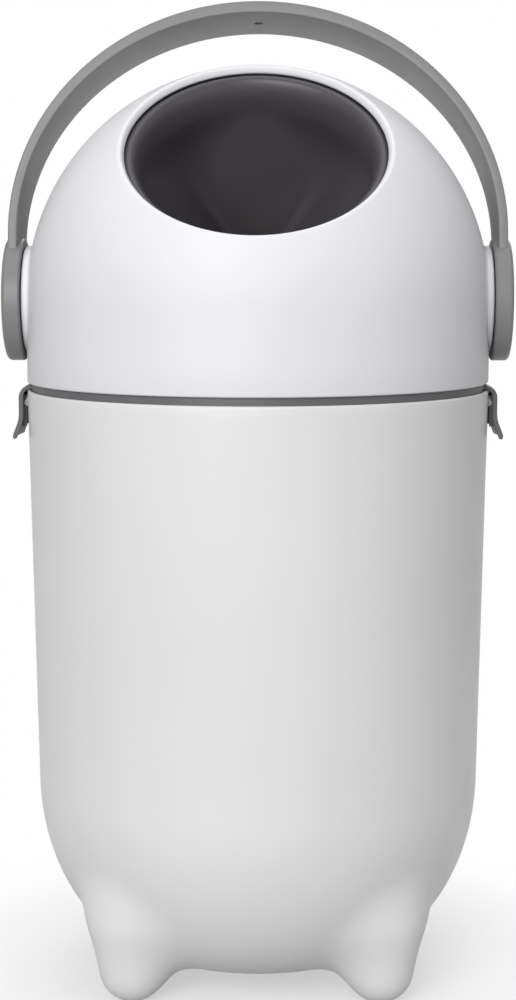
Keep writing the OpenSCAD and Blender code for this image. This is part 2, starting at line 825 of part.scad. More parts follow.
module handle() {
    slot_l = 6;
    slot_w = 2;
    color(GREY)
        difference() {
            union() {
                translate([0, 0, axis_h])
                    rotate([90 - handle_lean, 0, 0])
                        translate([0, 0, -band_w / 2])
                            linear_extrude(height = band_w)
                                difference() {
                                    arch(0, 0);
                                    arch(band_t, CUT);
                                }
                for (side = [-1, 1])
                    at_axis(side)
                        ear();
            }
            // Slot in the underside at the top of the arch
            translate([0, 0, axis_h])
                rotate([-handle_lean, 0, 0])
                    translate([-slot_l / 2, -slot_w / 2, handle_h - band_t - CUT])
                        cube([slot_l, slot_w, CUT + 1.2]);
            for (side = [-1, 1])
                at_axis(side) {
                    keyed_bar_x(bush_in_r, axle_flats + 2 * shaft_gap, ear_inner_x - CUT, axle_end_x);
                    bar_x(handle_screw_d / 2 + fit_gap, axle_end_x - CUT, ear_out_x + CUT);
                    bar_x(screw_head_r + 0.5, screw_seat_x, ear_out_x + CUT);
                    bar_x(cap_d / 2 + fit_gap, cap_in_x, ear_out_x + CUT);
                }
        }
}

module handle_screws() {
    color(STEEL)
        for (side = [-1, 1])
            at_axis(side) {
                bar_x(screw_head_r, screw_seat_x, screw_seat_x + screw_head_t);
                bar_x(handle_screw_d / 2 - shaft_gap, hub_key_x - hub_end_t + 1, screw_seat_x + 1);
            }
}

module ear_cap(side) {
    color(GREY)
        at_axis(side)
            difference() {
                disc_x(concat([[0, cap_in_x], [cap_d / 2, cap_in_x]], crowned_face(cap_d / 2)));
                bar_x(screw_head_r + 0.5, cap_in_x - CUT, screw_seat_x + screw_head_t + 0.2);
            }
}

// ---- latches ----

// Section of a latch as [radius, height above the rim] points
function latch_section() = [
    [hinge_x, -barrel_r + hinge_lift],
    [body_r + 0.4, 0.35],
    [strap_in_r - 0.9, -1],
    [strap_in_r, -3.2],
    [strap_in_r, -latch_drop + 1],
    [strap_in_r + 0.6, -latch_drop - 2.6],
    [strap_in_r + tab_flare - 0.4, -latch_drop - tab_h + 1],
    [strap_in_r + tab_flare + 0.6, -latch_drop - tab_h],
    [strap_in_r + tab_flare + 2, -latch_drop - tab_h + 0.2],
    [strap_in_r + tab_flare + 2.2, -latch_drop - tab_h + 1.4],
    [strap_out_r + 0.6, -latch_drop - 2.9],
    [strap_out_r, -latch_drop + 1],
    [strap_out_r, -4.6],
    [strap_out_r - 1.2, -2],
    [body_r + 1.4, 1.6],
    [body_r - 2.3, hinge_lift + barrel_r - 0.1],
    [hinge_x, hinge_lift + barrel_r]
];

module latch(side) {
    lift = rim_h;
    nose_top = catch_low + 1.1;
    nose_slope = 0.75;
    rib_in_r = body_r + 0.5;
    color(GREY)
        difference() {
            union() {
                rotate([0, 0, side < 0 ? 180 : 0]) {
                    translate([0, 0, lift])
                        ring(latch_section(), angle = 2 * latch_half_angle);
                    // Nose that snaps under the catch
                    translate([0, 0, lift])
                        ring([[strap_in_r + 0.5, -nose_top + nose_slope],
                            [strap_in_r, -nose_top + nose_slope],
                            [nose_r, -nose_top], [nose_r, -nose_top - 1.2],
                            [strap_in_r + 0.5, -nose_top - 3]], angle = 8);
                    // Stiffening ribs at both edges
                    for (edge = [-1, 1])
                        rotate([0, 0, edge * (latch_half_angle - 0.5)])
                            translate([0, 0, lift])
                                ring([[strap_in_r + 0.5, -3.2], [rib_in_r, -3.2],
                                    [rib_in_r, -latch_drop + 1.5],
                                    [strap_in_r + 0.5, -latch_drop]], angle = 1);
                }
                mirror([side < 0 ? 1 : 0, 0, 0])
                    translate([hinge_x, latch_w / 2, hinge_h])
                        rotate([90, 0, 0])
                            cylinder(r = barrel_r, h = latch_w, $fn = SMALL_ROUND);
            }
            latch_pin_bar(side, shaft_gap, latch_w);
        }
}

module latch_pins() {
    color(STEEL)
        for (side = [-1, 1])
            latch_pin_bar(side, 0, latch_w / 2 + housing_gap + latch_pin_hold);
}

bucket();
lid_base();
rim_gasket();
lid_dome();
mouth_seal();
drum_seal();
lid_screws();
bush(-1);  // bush_left
bush(1);  // bush_right
drum_shell();
drum_pocket();
drum_screws();
axle(-1);  // axle_left
axle(1);  // axle_right
handle();
handle_screws();
ear_cap(-1);  // ear_cap_left
ear_cap(1);  // ear_cap_right
latch(-1);  // latch_left
latch(1);  // latch_right
latch_pins();
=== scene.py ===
import math

import bmesh
import bpy
import numpy as np
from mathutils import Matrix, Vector


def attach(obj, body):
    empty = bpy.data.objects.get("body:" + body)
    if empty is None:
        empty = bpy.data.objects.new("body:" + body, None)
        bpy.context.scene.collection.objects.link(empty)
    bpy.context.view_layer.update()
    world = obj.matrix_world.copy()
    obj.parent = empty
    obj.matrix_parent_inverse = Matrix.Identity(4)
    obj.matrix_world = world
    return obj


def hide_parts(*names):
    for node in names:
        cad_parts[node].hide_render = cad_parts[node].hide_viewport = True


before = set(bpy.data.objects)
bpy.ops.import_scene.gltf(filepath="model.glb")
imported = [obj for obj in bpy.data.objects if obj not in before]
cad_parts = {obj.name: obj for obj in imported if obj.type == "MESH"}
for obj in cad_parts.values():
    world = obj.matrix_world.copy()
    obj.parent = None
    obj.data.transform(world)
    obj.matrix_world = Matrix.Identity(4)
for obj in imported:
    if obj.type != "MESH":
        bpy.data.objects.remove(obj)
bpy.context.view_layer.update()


# ---- Bucket ----
# One injection-moulded tub of white polypropylene with a fine satin grain. Its round bottom runs
# softly into four hollow feet, and the thinned rim has a ledge inside that carries the lid.

MM = 0.001
body_r = 137.5
rim_h = 354.0
wall_foot_r, wall_foot_h = 133.0, 121.0
bottom_flat_r, bottom_h = 53.5, 12.3
bucket_wall = 3.0
ledge_h, ledge_r, rim_in_r = 340.0, 134.2, 135.3
seam_gap = 1.2e-5  # points of a turned piece this close, in metres, are one point


def turned(name, section, steps, turn=math.tau, centre=(0, 0, 0), axis=(0, 0, 1), out=(1, 0, 0),
           filled=False):
    """A turned piece: its section, as (distance from the axis, distance along it) in mm, is drawn
    point by point and spun about the axis. A filled section gives closed ends to a part turn."""
    axis, out = Vector(axis).normalized(), Vector(out).normalized()
    points = [Vector(centre) * MM + out * (r * MM) + axis * (h * MM) for r, h in section]
    bpy.ops.object.select_all(action="DESELECT")
    bpy.ops.mesh.primitive_plane_add(size=0.001, location=(0, 0, 0))
    piece = bpy.context.object
    piece.name = piece.data.name = name
    bpy.ops.object.mode_set(mode="EDIT")
    bpy.ops.mesh.select_mode(type="VERT")
    bpy.ops.mesh.select_all(action="SELECT")
    bpy.ops.mesh.merge(type="CENTER")
    bpy.ops.transform.translate(value=points[0])
    for a, b in zip(points, points[1:]):
        bpy.ops.mesh.extrude_vertices_move(TRANSFORM_OT_translate={"value": b - a})
    bpy.ops.mesh.select_all(action="SELECT")
    if filled:
        bpy.ops.mesh.remove_doubles(threshold=1e-6)
        bpy.ops.mesh.edge_face_add()
    bpy.ops.mesh.spin(steps=steps, angle=-turn, center=Vector(centre) * MM, axis=axis,
                      use_auto_merge=False)
    bpy.ops.mesh.select_all(action="SELECT")
    bpy.ops.mesh.remove_doubles(threshold=seam_gap)
    bpy.ops.mesh.normals_make_consistent(inside=False)
    bpy.ops.object.mode_set(mode="OBJECT")
    return piece


def arc(r, h, radius, start, end, steps):
    """Points of an arc in a section, from one angle to another, counted from outwards to upwards."""
    angles = (math.radians(start + (end - start) * i / steps) for i in range(steps + 1))
    return [(r + radius * math.cos(a), h + radius * math.sin(a)) for a in angles]


def bottom_curve(inset, steps):
    """The rounded lower corner of the bucket, from its flat bottom up to the straight wall."""
    return [(bottom_flat_r + (wall_foot_r - bottom_flat_r - inset) * math.sin(a),
             wall_foot_h - (wall_foot_h - bottom_h - inset) * math.cos(a))
            for a in (math.pi / 2 * i / steps for i in range(steps + 1))]


def wall_at(h, inset=0.0):
    """Radius of the straight wall at a height, with its slight draft for the mould."""
    return wall_foot_r - inset + (body_r - wall_foot_r) * (h - wall_foot_h) / (rim_h - wall_foot_h)


outside = ([(r, bottom_h) for r in (0, 12, 22, 30, 36, 40, 43, 46, 49, 51.5)] + bottom_curve(0, 50)
           + [(wall_at(h), h) for h in (125, 130, 136, 144, 160, 190, 220, 250, 280, 310, 335, 347)]
           + arc(body_r - 1.3, rim_h - 1.3, 1.3, 0, 90, 5))
inside = ([(rim_in_r + 0.4, rim_h), (rim_in_r, rim_h - 0.5), (rim_in_r, ledge_h + 0.5),
           (rim_in_r - 0.3, ledge_h), (ledge_r + 0.4, ledge_h), (ledge_r, ledge_h - 0.5)]
          + [(wall_at(h, bucket_wall), h) for h in (320, 280, 240, 200, 160, 144, 132)]
          + bottom_curve(bucket_wall, 34)[::-1] + [(r, bottom_h + bucket_wall) for r in (48, 42, 34, 20, 0)])
bucket = turned("bucket_shell", outside + inside, 256)

# The feet: each is a round cone, melted into the bottom as the mould's soft corners do. Every low
# point of the bucket slides along its ray from a point inside until it meets the melted skin.
leg_reach = 102.3
leg_tip_h, leg_tip_r = 19.4, 19.8
leg_shoulder_h, leg_shoulder_r = 46.5, 24.8
melt, melt_top = 22.0, 141.0
ray_from_h, ray_near, ray_far, halvings = 400.0, 0.85, 1.25, 26
profile = np.array(outside)


def body_gap(r, z):
    """Distance outside the bucket's plain round body, negative inside it."""
    a, b = profile[:-1], profile[1:]
    d = b - a
    q = np.stack([r, z], -1)[:, None, :] - a
    t = np.clip((q * d).sum(-1) / (d * d).sum(-1), 0, 1)
    away = q - t[..., None] * d
    dist = np.sqrt((away ** 2).sum(-1))
    near = dist.argmin(1)
    rows = np.arange(len(r))
    side = d[near, 0] * q[rows, near, 1] - d[near, 1] * q[rows, near, 0]
    return np.where(side > 0, -1.0, 1.0) * dist[rows, near]


def leg_gap(x, y, z):
    """Distance outside the nearest foot: a tip ball and a shoulder ball under one skin."""
    reach = leg_reach / math.sqrt(2)
    p = np.hypot(np.abs(x) - reach, np.abs(y) - reach)
    h = leg_shoulder_h - leg_tip_h
    lean = (leg_tip_r - leg_shoulder_r) / h
    side = math.sqrt(1 - lean * lean)
    w = z - leg_tip_h
    k = -lean * p + side * w
    above = np.where(k > side * h, np.hypot(p, w - h) - leg_shoulder_r, side * p + lean * w - leg_tip_r)
    return np.where(k < 0, np.hypot(p, w) - leg_tip_r, above)


def melted_gap(p):
    """Distance outside the body and its feet, with a soft hollow where they meet."""
    a = body_gap(np.hypot(p[:, 0], p[:, 1]), p[:, 2])
    b = leg_gap(p[:, 0], p[:, 1], p[:, 2])
    h = np.clip(melt - np.abs(a - b), 0, None) / melt
    return np.minimum(a, b) - h * h * melt / 4


points = np.array([v.co for v in bucket.data.vertices]) / MM
low = points[:, 2] < melt_top
start = body_gap(np.hypot(points[:, 0], points[:, 1]), points[:, 2])
depth = np.where(start < -bucket_wall / 2, -bucket_wall, 0.0)[low]
eye = np.array([0, 0, ray_from_h])
ray = points[low] - eye
near, far = np.full(len(ray), ray_near), np.full(len(ray), ray_far)
for _ in range(halvings):
    mid = (near + far) / 2
    outer = melted_gap(eye + ray * mid[:, None]) > depth
    near, far = np.where(outer, near, mid), np.where(outer, mid, far)
moved = eye + ray * near[:, None]
moved[:, 2] = np.maximum(moved[:, 2], np.where(depth < 0, bucket_wall, 0.0))
points[low] = moved
bucket.data.vertices.foreach_set("co", (points * MM).ravel())
bucket.data.update()


def smoothed(piece, angle=30):
    """Smooth shading, with edges sharper than the angle kept crisp."""
    bpy.ops.object.select_all(action="DESELECT")
    piece.select_set(True)
    bpy.context.view_layer.objects.active = piece
    bpy.ops.object.shade_smooth_by_angle(angle=math.radians(angle))


def joined(piece, *others):
    """One object made of several; the first keeps its name."""
    bpy.ops.object.select_all(action="DESELECT")
    for o in (piece, *others):
        o.select_set(True)
    bpy.context.view_layer.objects.active = piece
    bpy.ops.object.join()
    return piece


def start_of(side, width):
    """Where a part turn so many degrees wide starts, to lie evenly about the bin's left or right."""
    a = math.radians(-width / 2)
    return (side * math.cos(a), side * math.sin(a), 0)


# The two ramped catches under the rim that the latches' noses snap onto
catch_width = 9
catch_section = [(136.2, 343.6), (139.3, 344.8), (139.7, 345.3), (139.7, 346.3), (139.3, 347.2), (137.9, 349.9),
                 (136.2, 350.2), (136.2, 343.6)]
catches = [turned("catch", catch_section, 12, math.radians(catch_width), out=start_of(side, catch_width),
                  filled=True) for side in (-1, 1)]
bucket = joined(bucket, *catches)
smoothed(bucket)


def moulded(name, colour, shade, rough, grain, grain_size, scuff=0.0):
    """Moulded plastic: a colour that drifts slightly with the melt, a spark-eroded grain from the
    mould, faint handling scuffs that change only the gloss, and a slow waviness of the surface."""
    m = bpy.data.materials.new(name)
    m.use_nodes = True
    nodes, links = m.node_tree.nodes, m.node_tree.links
    shader = nodes["Principled BSDF"]
    shader.inputs["IOR"].default_value = 1.49
    place = nodes.new("ShaderNodeTexCoord")

    def noise(scale, detail, roughness=0.5, stretch=(1, 1, 1)):
        mapping = nodes.new("ShaderNodeMapping")
        mapping.inputs["Scale"].default_value = stretch
        links.new(place.outputs["Object"], mapping.inputs["Vector"])
        n = nodes.new("ShaderNodeTexNoise")
        n.inputs["Scale"].default_value = scale
        n.inputs["Detail"].default_value = detail
        n.inputs["Roughness"].default_value = roughness
        links.new(mapping.outputs["Vector"], n.inputs["Vector"])
        return n.outputs["Fac"]

    def spread(value, low, high, to_low, to_high):
        r = nodes.new("ShaderNodeMapRange")
        for key, v in (("From Min", low), ("From Max", high), ("To Min", to_low), ("To Max", to_high)):
            r.inputs[key].default_value = v
        links.new(value, r.inputs["Value"])
        return r.outputs["Result"]

    def math_node(operation, a, b):
        n = nodes.new("ShaderNodeMath")
        n.operation = operation
        for i, v in enumerate((a, b)):
            if isinstance(v, float):
                n.inputs[i].default_value = v
            else:
                links.new(v, n.inputs[i])
        return n.outputs["Value"]

    drift = nodes.new("ShaderNodeMix")
    drift.data_type = "RGBA"
    drift.inputs["A"].default_value = (*colour, 1)
    drift.inputs["B"].default_value = (*shade, 1)
    links.new(spread(noise(9.0, 3.0), 0.35, 0.75, 0.0, 1.0), drift.inputs["Factor"])
    links.new(drift.outputs["Result"], shader.inputs["Base Color"])

    gloss = spread(noise(38.0, 4.0, 0.6), 0.3, 0.7, rough - 0.03, rough + 0.04)
    scuffs = math_node("MULTIPLY", spread(noise(60.0, 6.0, 0.7, (1, 1, 0.18)), 0.58, 0.72, 0.0, 1.0),
                       spread(noise(11.0, 2.0), 0.5, 0.65, 0.0, 1.0))
    links.new(math_node("ADD", gloss, math_node("MULTIPLY", scuffs, scuff)), shader.inputs["Roughness"])

    fine = nodes.new("ShaderNodeBump")
    fine.inputs["Strength"].default_value = grain
    fine.inputs["Distance"].default_value = 0.00012
    links.new(noise(grain_size, 3.0, 0.55), fine.inputs["Height"])
    wave = nodes.new("ShaderNodeBump")
    wave.inputs["Strength"].default_value = 0.12
    wave.inputs["Distance"].default_value = 0.0006
    links.new(noise(14.0, 1.0), wave.inputs["Height"])
    links.new(fine.outputs["Normal"], wave.inputs["Normal"])
    links.new(wave.outputs["Normal"], shader.inputs["Normal"])
    return m


def dressed(piece, body, slot, material, *stands_for):
    """Gives a finished piece its material, and says which body it rides and which node it stands for."""
    piece.data.materials.clear()
    piece.data.materials.append(material)
    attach(piece, body)
    if stands_for:
        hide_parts(*stands_for)


bucket_white = moulded("bucket_white", (0.80, 0.80, 0.80), (0.775, 0.775, 0.77), 0.42, 0.22, 1500.0,
                       scuff=0.14)
dressed(bucket, "bucket", "bucket_white", bucket_white, "bucket")


# ---- Lid base ----
# The grey ring under the lid: a spigot that seats in the bucket's rim, the flat ring round the
# drum and the two latch housings, in one moulding. It shows as the dark band under the dome.

def material_on(node, material):
    """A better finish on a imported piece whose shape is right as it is."""
    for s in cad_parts[node].material_slots:
        s.material = material


lid_base_grey = moulded("lid_base_grey", (0.135, 0.130, 0.136), (0.120, 0.116, 0.121), 0.46, 0.25,
                        1600.0)
material_on("lid_base", lid_base_grey)


# ---- Lid dome ----
# The white dome: a smooth ball-shaped moulding that runs straight down as a skirt. The mouth's
# edge is rolled in to a thicker lip, and a round boss on each side carries the handle's ear.

axis_h = 407.0
skirt_h = 358.6
dome_in_r = 135.0
lip_in_r = 132.4
lip_tilt = math.radians(39.9)
lip_axis = (0, -math.sin(lip_tilt), math.cos(lip_tilt))
lip_half = 33.7
lid_centre = (0, 0, axis_h)


def on_ball(radius, angle):
    return (radius * math.sin(math.radians(angle)), radius * math.cos(math.radians(angle)))


def ball(radius, start, end, steps):
    """Points of a ball's section, from one angle off the mouth's axis to another."""
    return [on_ball(radius, start + (end - start) * i / steps) for i in range(steps + 1)]


def on_edge(radius, along):
    """A point on the lip's end: at a radius, and so many mm back from the mouth's cone."""
    a = math.radians(lip_half) + along / radius
    return (radius * math.sin(a), radius * math.cos(a))


lip_round = ((0.02, 2.0), (0.16, 1.25), (0.52, 0.62), (1.1, 0.2), (1.8, 0.02), (2.5, 0.0), (3.8, 0.05),
             (4.5, 0.3), (4.92, 0.75), (5.1, 1.4))
lip = ([on_edge(body_r - d, s) for d, s in lip_round]
       + ball(lip_in_r, lip_half + 1, lip_half + 2.2, 4) + [on_edge(133.5, 8.0), on_edge(134.5, 8.9)])
dome_stop = 133
dome = turned("dome_shell", ball(body_r, dome_stop, lip_half + 1.2, 62) + lip
              + ball(dome_in_r, lip_half + 4.2, dome_stop, 40), 224, centre=lid_centre, axis=lip_axis)
bpy.ops.object.mode_set(mode="EDIT")
bpy.ops.mesh.select_all(action="SELECT")
bpy.ops.mesh.bisect(plane_co=(0, 0, axis_h * MM), plane_no=(0, 0, 1), clear_inner=True, threshold=1e-7)


def select(mode, wanted):
    """Selects the vertices or edges, of the piece in edit mode, whose every point is wanted."""
    bpy.ops.mesh.select_mode(type=mode)
    bpy.ops.mesh.select_all(action="DESELECT")
    b = bmesh.from_edit_mesh(bpy.context.object.data)
    for e in (b.verts if mode == "VERT" else b.edges):
        e.select = all(wanted(v.co / MM) for v in ([e] if mode == "VERT" else e.verts))
    b.select_flush_mode()
    bmesh.update_edit_mesh(bpy.context.object.data)


# The ball ends level with the handle's axis, and its cut edge is drawn down as the skirt
select("VERT", lambda p: p.z < axis_h + 0.002)
bpy.ops.mesh.remove_doubles(threshold=0.6 * MM)
select("EDGE", lambda p: p.z < axis_h + 0.002)
for drop in (16, 16, axis_h - skirt_h - 32):
    bpy.ops.mesh.extrude_region_move(TRANSFORM_OT_translate={"value": (0, 0, -drop * MM)})
bpy.ops.mesh.bridge_edge_loops()
select("EDGE", lambda p: abs(p.z - skirt_h) < 0.001 and math.hypot(p.x, p.y) > dome_in_r + 1)
bpy.ops.mesh.bevel(offset=1.0 * MM, segments=4, affect="EDGES")
bpy.ops.mesh.select_all(action="SELECT")
bpy.ops.mesh.normals_make_consistent(inside=False)
bpy.ops.object.mode_set(mode="OBJECT")

boss_r, boss_out_x, boss_in_x, boss_edge, bush_seat_r = 31.8, 138.2, 131.5, 1.4, 12.1
bosses = []
for side in (-1, 1):
    section = ([(bush_seat_r, boss_in_x), (bush_seat_r, boss_out_x)]
               + arc(boss_r - boss_edge, boss_out_x - boss_edge, boss_edge, 90, 0, 5)
               + [(boss_r, 134.6), (boss_r + 0.35, 134.2), (boss_r + 1.3, 133.6), (boss_r + 1.3, boss_in_x),
                  (bush_seat_r, boss_in_x)])
    bosses.append(turned("boss", section, 96, centre=lid_centre, axis=(side, 0, 0), out=(0, 0, 1)))
dome = joined(dome, *bosses)
smoothed(dome)
lid_white = moulded("lid_white", (0.82, 0.82, 0.84), (0.80, 0.80, 0.82), 0.50, 0.10, 1700.0,
                    scuff=0.10)
dressed(dome, "lid", "lid_white", lid_white, "lid_dome")


# ---- Seals ----
# Black rubber: a gasket round the spigot, a flocked seal behind the mouth's lip and a wiper
# under the lid base, which rub on the drum and keep the smell in.

def speckled(name, colour, fleck, rough, rough_spread, grain_size, detail, relief, relief_depth, metal=0.0):
    """Rubber or metal: one fine noise drives flecks in the colour, the gloss and a slight relief."""
    m = bpy.data.materials.new(name)
    m.use_nodes = True
    nodes, links = m.node_tree.nodes, m.node_tree.links
    shader = nodes["Principled BSDF"]
    shader.inputs["Metallic"].default_value = metal
    place = nodes.new("ShaderNodeTexCoord")
    marks = nodes.new("ShaderNodeTexNoise")
    marks.inputs["Scale"].default_value = grain_size
    marks.inputs["Detail"].default_value = detail
    links.new(place.outputs["Object"], marks.inputs["Vector"])
    tint = nodes.new("ShaderNodeMix")
    tint.data_type = "RGBA"
    tint.inputs["A"].default_value = (*colour, 1)
    tint.inputs["B"].default_value = (*(c * fleck for c in colour), 1)
    links.new(marks.outputs["Fac"], tint.inputs["Factor"])
    links.new(tint.outputs["Result"], shader.inputs["Base Color"])
    gloss = nodes.new("ShaderNodeMapRange")
    gloss.inputs["To Min"].default_value = rough - rough_spread
    gloss.inputs["To Max"].default_value = rough + 0.12
    links.new(marks.outputs["Fac"], gloss.inputs["Value"])
    links.new(gloss.outputs["Result"], shader.inputs["Roughness"])
    bump = nodes.new("ShaderNodeBump")
    bump.inputs["Strength"].default_value = relief
    bump.inputs["Distance"].default_value = relief_depth
    links.new(marks.outputs["Fac"], bump.inputs["Height"])
    links.new(bump.outputs["Normal"], shader.inputs["Normal"])
    return m


seal_rubber = speckled("seal_rubber", (0.018, 0.018, 0.019), 1.9, 0.7, 0.1, 120.0, 5.0, 0.3, 0.0002)
for node in ("rim_gasket", "mouth_seal", "drum_seal"):
    material_on(node, seal_rubber)


# ---- Drum ----
# The ball that turns inside the lid: a lower shell that closes the mouth, and an upper shell that
# rolls in to the pocket a nappy is pushed into. Both are moulded in dark grey satin plastic.

mouth_tilt = math.radians(41.0)
mouth_axis = (0, -math.sin(mouth_tilt), math.cos(mouth_tilt))
drum_r, drum_wall = 131.3, 2.5
drum_split = 25.0
roll_w, roll_depth, pocket_wall = 7.0, 18.0, 2.2
roll_angle = 33.9
roll_start = math.degrees(math.atan(math.tan(math.radians(roll_angle)) * roll_w / roll_depth))
roll_in = drum_r * math.sin(math.radians(roll_angle)) - roll_w * math.sin(math.radians(roll_start))
roll_up = drum_r * math.cos(math.radians(roll_angle)) - roll_depth * math.cos(math.radians(roll_start))
pocket_r = roll_in - roll_w
floor_half_l, floor_half_w, floor_corner = 46.0, 13.0, 7.0

drum_grey = moulded("drum_grey", (0.077, 0.069, 0.076), (0.064, 0.058, 0.064), 0.40, 0.25, 1500.0)
material_on("drum_shell", drum_grey)


def roll(inset, start, end, steps):
    """Points of the roll, an ellipse that touches the drum's ball and turns down into the pocket."""
    angles = (math.radians(start + (end - start) * i / steps) for i in range(steps + 1))
    return [(roll_in + (roll_w - inset) * math.sin(a), roll_up + (roll_depth - inset) * math.cos(a))
            for a in angles]


split = math.degrees(math.acos(drum_split / drum_r))
lap_r = math.sqrt((drum_r - drum_wall) ** 2 - drum_split ** 2) - 0.1
inner_stop = math.degrees(math.acos((drum_split + 5) / (drum_r - drum_wall)))
cover = turned("pocket_moulding", (
    ball(drum_r, split, roll_angle, 30)
    + roll(0, roll_start, -90, 40)[1:]
    + roll(pocket_wall, -90, roll_start, 24)
    + ball(drum_r - drum_wall, roll_angle, inner_stop, 20)[1:]
    + [(lap_r - 2.5, drum_split + 2.5), (lap_r - 2.5, drum_split - 8), (lap_r, drum_split - 8),
       (lap_r, (drum_r - drum_wall) * math.cos(math.radians(split)))]
    + [on_ball(drum_r - drum_wall, split), on_ball(drum_r, split)]), 192,
    centre=lid_centre, axis=mouth_axis)


def pocket_ring(t, grow, h, count=24):
    """One level of the pocket, from a circle at the roll (t=0) to a long slot at the floor (t=1).
    It is grown outwards by so many mm and lies at a distance h from the ball's middle."""
    ease = 1.08 * t * t / (t + 0.08)
    half_w = pocket_r - (pocket_r - floor_half_w) * ease
    half_l = pocket_r - (pocket_r - floor_half_l) * ease
    corner = min(pocket_r * (1 - ease) ** 3 + floor_corner * t, half_w, half_l)
    ring = []
    for quarter in range(4):
        sx, sy = (1, -1, -1, 1)[quarter], (1, 1, -1, -1)[quarter]
        for i in range(count):
            a = math.radians(90 * quarter + 90 * i / (count - 1))
            x = sx * (half_w - corner) + (corner + grow) * math.cos(a)
            m = sy * (half_l - corner) + (corner + grow) * math.sin(a)
            y = m * math.cos(mouth_tilt) - h * math.sin(mouth_tilt)
            z = axis_h + m * math.sin(mouth_tilt) + h * math.cos(mouth_tilt)
            ring.append(Vector((x, y, z)) * MM)
    return ring


# The pocket is drawn down level by level: each level is the last one's edge, extruded and reshaped
levels = 26
floor_r = 5.0
rings = []
for i in range(levels + 1):
    h = roll_up - (roll_up - floor_r) * i / levels
    rings.append(pocket_ring((roll_up - h) / roll_up, 0.0, h))
for i in range(1, 7):
    a = math.radians(90 * i / 6)
    h = floor_r * (1 - math.sin(a))
    rings.append(pocket_ring((roll_up - h) / roll_up, -floor_r * (1 - math.cos(a)), h))
bpy.ops.object.select_all(action="DESELECT")
bpy.ops.mesh.primitive_circle_add(vertices=len(rings[0]), radius=0.01, location=(0, 0, 0))
pocket = bpy.context.object
bpy.ops.object.mode_set(mode="EDIT")
bpy.ops.mesh.select_all(action="SELECT")
b = bmesh.from_edit_mesh(pocket.data)
for v, p in zip(b.verts, rings[0]):
    v.co = p
for ring in rings[1:]:
    bpy.ops.mesh.extrude_region_move()
    b = bmesh.from_edit_mesh(pocket.data)
    chosen = [v for v in b.verts if v.select]
    for v, p in zip(sorted(chosen, key=lambda v: v.index), ring):
        v.co = p
bmesh.update_edit_mesh(pocket.data)
bpy.ops.mesh.edge_face_add()
bpy.ops.mesh.select_all(action="SELECT")
bpy.ops.mesh.remove_doubles(threshold=1e-6)
bpy.ops.object.mode_set(mode="OBJECT")
pocket.modifiers.new("wall", "SOLIDIFY").thickness = pocket_wall * MM
pocket.modifiers["wall"].offset = 1.0
bpy.ops.object.modifier_apply(modifier="wall")
drum_top = joined(cover, pocket)
smoothed(drum_top, 40)
dressed(drum_top, "drum", "drum_grey", drum_grey, "drum_pocket")


# ---- Handle ----
# The carrying handle: a wide grey band bent over the lid, with a thick round ear at each end that
# is keyed to an axle. Swinging it forwards turns the drum. A cap closes the screw in each ear.

handle_lean = math.radians(10.3)
arm_reach, handle_top, arm_h = 146.9, 174.0, 37.3
band_w, band_t, band_edge = 49.0, 5.4, 0.9
ear_in_x, ear_out_x, ear_r, ear_edge, ear_face_r = 138.8, 150.4, 36.2, 2.6, 500.0
cap_r, cap_seat_x = 26.0, ear_out_x - 3.4

bpy.ops.object.select_all(action="DESELECT")
bpy.ops.mesh.primitive_circle_add(vertices=192, radius=1.0, location=(0, 0, 0), rotation=(math.pi / 2, 0, 0))
handle = bpy.context.object
handle.name = handle.data.name = "handle_band"
bpy.ops.object.transform_apply(location=True, rotation=True, scale=True)
bpy.ops.object.mode_set(mode="EDIT")
bpy.ops.mesh.select_all(action="SELECT")
bpy.ops.transform.resize(value=(arm_reach * MM, 1, (handle_top - arm_h) * MM))
select("VERT", lambda p: p.z < -0.01)
bpy.ops.mesh.delete(type="VERT")
bpy.ops.mesh.select_all(action="SELECT")
bpy.ops.transform.translate(value=(0, -band_w / 2 * MM, arm_h * MM))
select("VERT", lambda p: p.z < arm_h + 0.01)
bpy.ops.mesh.extrude_vertices_move(TRANSFORM_OT_translate={"value": (0, 0, -arm_h * MM)})
bpy.ops.mesh.select_all(action="SELECT")
bpy.ops.mesh.extrude_region_move(TRANSFORM_OT_translate={"value": (0, band_w * MM, 0)})
bpy.ops.mesh.select_all(action="SELECT")
bpy.ops.mesh.normals_make_consistent(inside=False)
bpy.ops.object.mode_set(mode="OBJECT")
wall = handle.modifiers.new("wall", "SOLIDIFY")
wall.thickness, wall.offset, wall.use_even_offset = band_t * MM, -1.0, True
bpy.ops.object.modifier_apply(modifier="wall")

# The band is a little thicker over the top, and a small round recess marks its underside there
rise, crown_t = handle_top - arm_h, 6.9
recess_r, recess_deep, cutter_h = 2.7, 1.3, 4.0
bpy.ops.object.mode_set(mode="EDIT")
select("VERT", lambda p: p.z > arm_h + 0.01 and math.hypot(p.x / (arm_reach - band_t / 2),
                                                           (p.z - arm_h) / (rise - band_t / 2)) < 1)
bpy.ops.transform.resize(value=(1, 1, (rise - crown_t) / (rise - band_t)),
                         center_override=(0, 0, arm_h * MM))
bpy.ops.object.mode_set(mode="OBJECT")
edges = handle.modifiers.new("edges", "BEVEL")
edges.width, edges.segments, edges.angle_limit = band_edge * MM, 4, math.radians(50)
bpy.ops.object.modifier_apply(modifier="edges")
recess_h = handle_top - crown_t + recess_deep - cutter_h / 2
bpy.ops.mesh.primitive_cylinder_add(vertices=32, radius=recess_r * MM, depth=cutter_h * MM,
                                    location=(0, 0, recess_h * MM))
recess = bpy.context.object
bpy.ops.object.select_all(action="DESELECT")
handle.select_set(True)
bpy.context.view_layer.objects.active = handle
cut = handle.modifiers.new("recess", "BOOLEAN")
cut.operation, cut.object = "DIFFERENCE", recess
bpy.ops.object.modifier_apply(modifier="recess")
bpy.data.objects.remove(recess)
handle.location = (0, 0, axis_h * MM)
